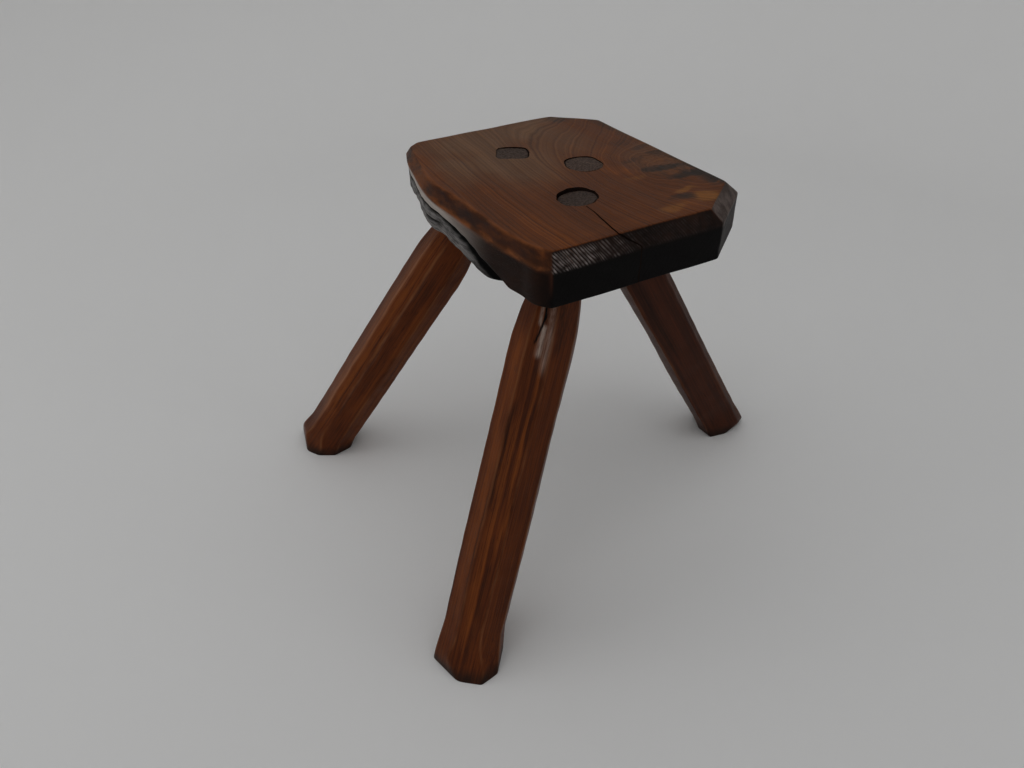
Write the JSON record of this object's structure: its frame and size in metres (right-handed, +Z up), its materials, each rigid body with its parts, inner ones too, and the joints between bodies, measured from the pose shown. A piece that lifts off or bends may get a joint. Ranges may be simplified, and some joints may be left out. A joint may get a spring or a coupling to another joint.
{
  "type": "three leg stool",
  "caption": "Low rustic stool: a bevelled plank seat with one natural edge, on splayed hewn legs whose round tenons run through the seat.",
  "frame": {"origin": "centre of the stool's bounding box at floor level, under the seat", "axes": "+Z up, +Y along the seat's grain towards its back edge, +X across the grain away from the natural edge"},
  "size_m": [0.45, 0.3838, 0.33],
  "materials": {
    "seat_wood": "dark stained hardwood, waxed to a satin sheen, open straight grain with one swirling knot figure",
    "leg_wood": "reddish brown stained hardwood, hewn facets, waxed to a satin sheen"
  },
  "bodies": {
    "root": {"seat": "seat_wood", "leg_left": "leg_wood", "leg_right": "leg_wood", "leg_front": "leg_wood"}
  },
  "joints": []
}
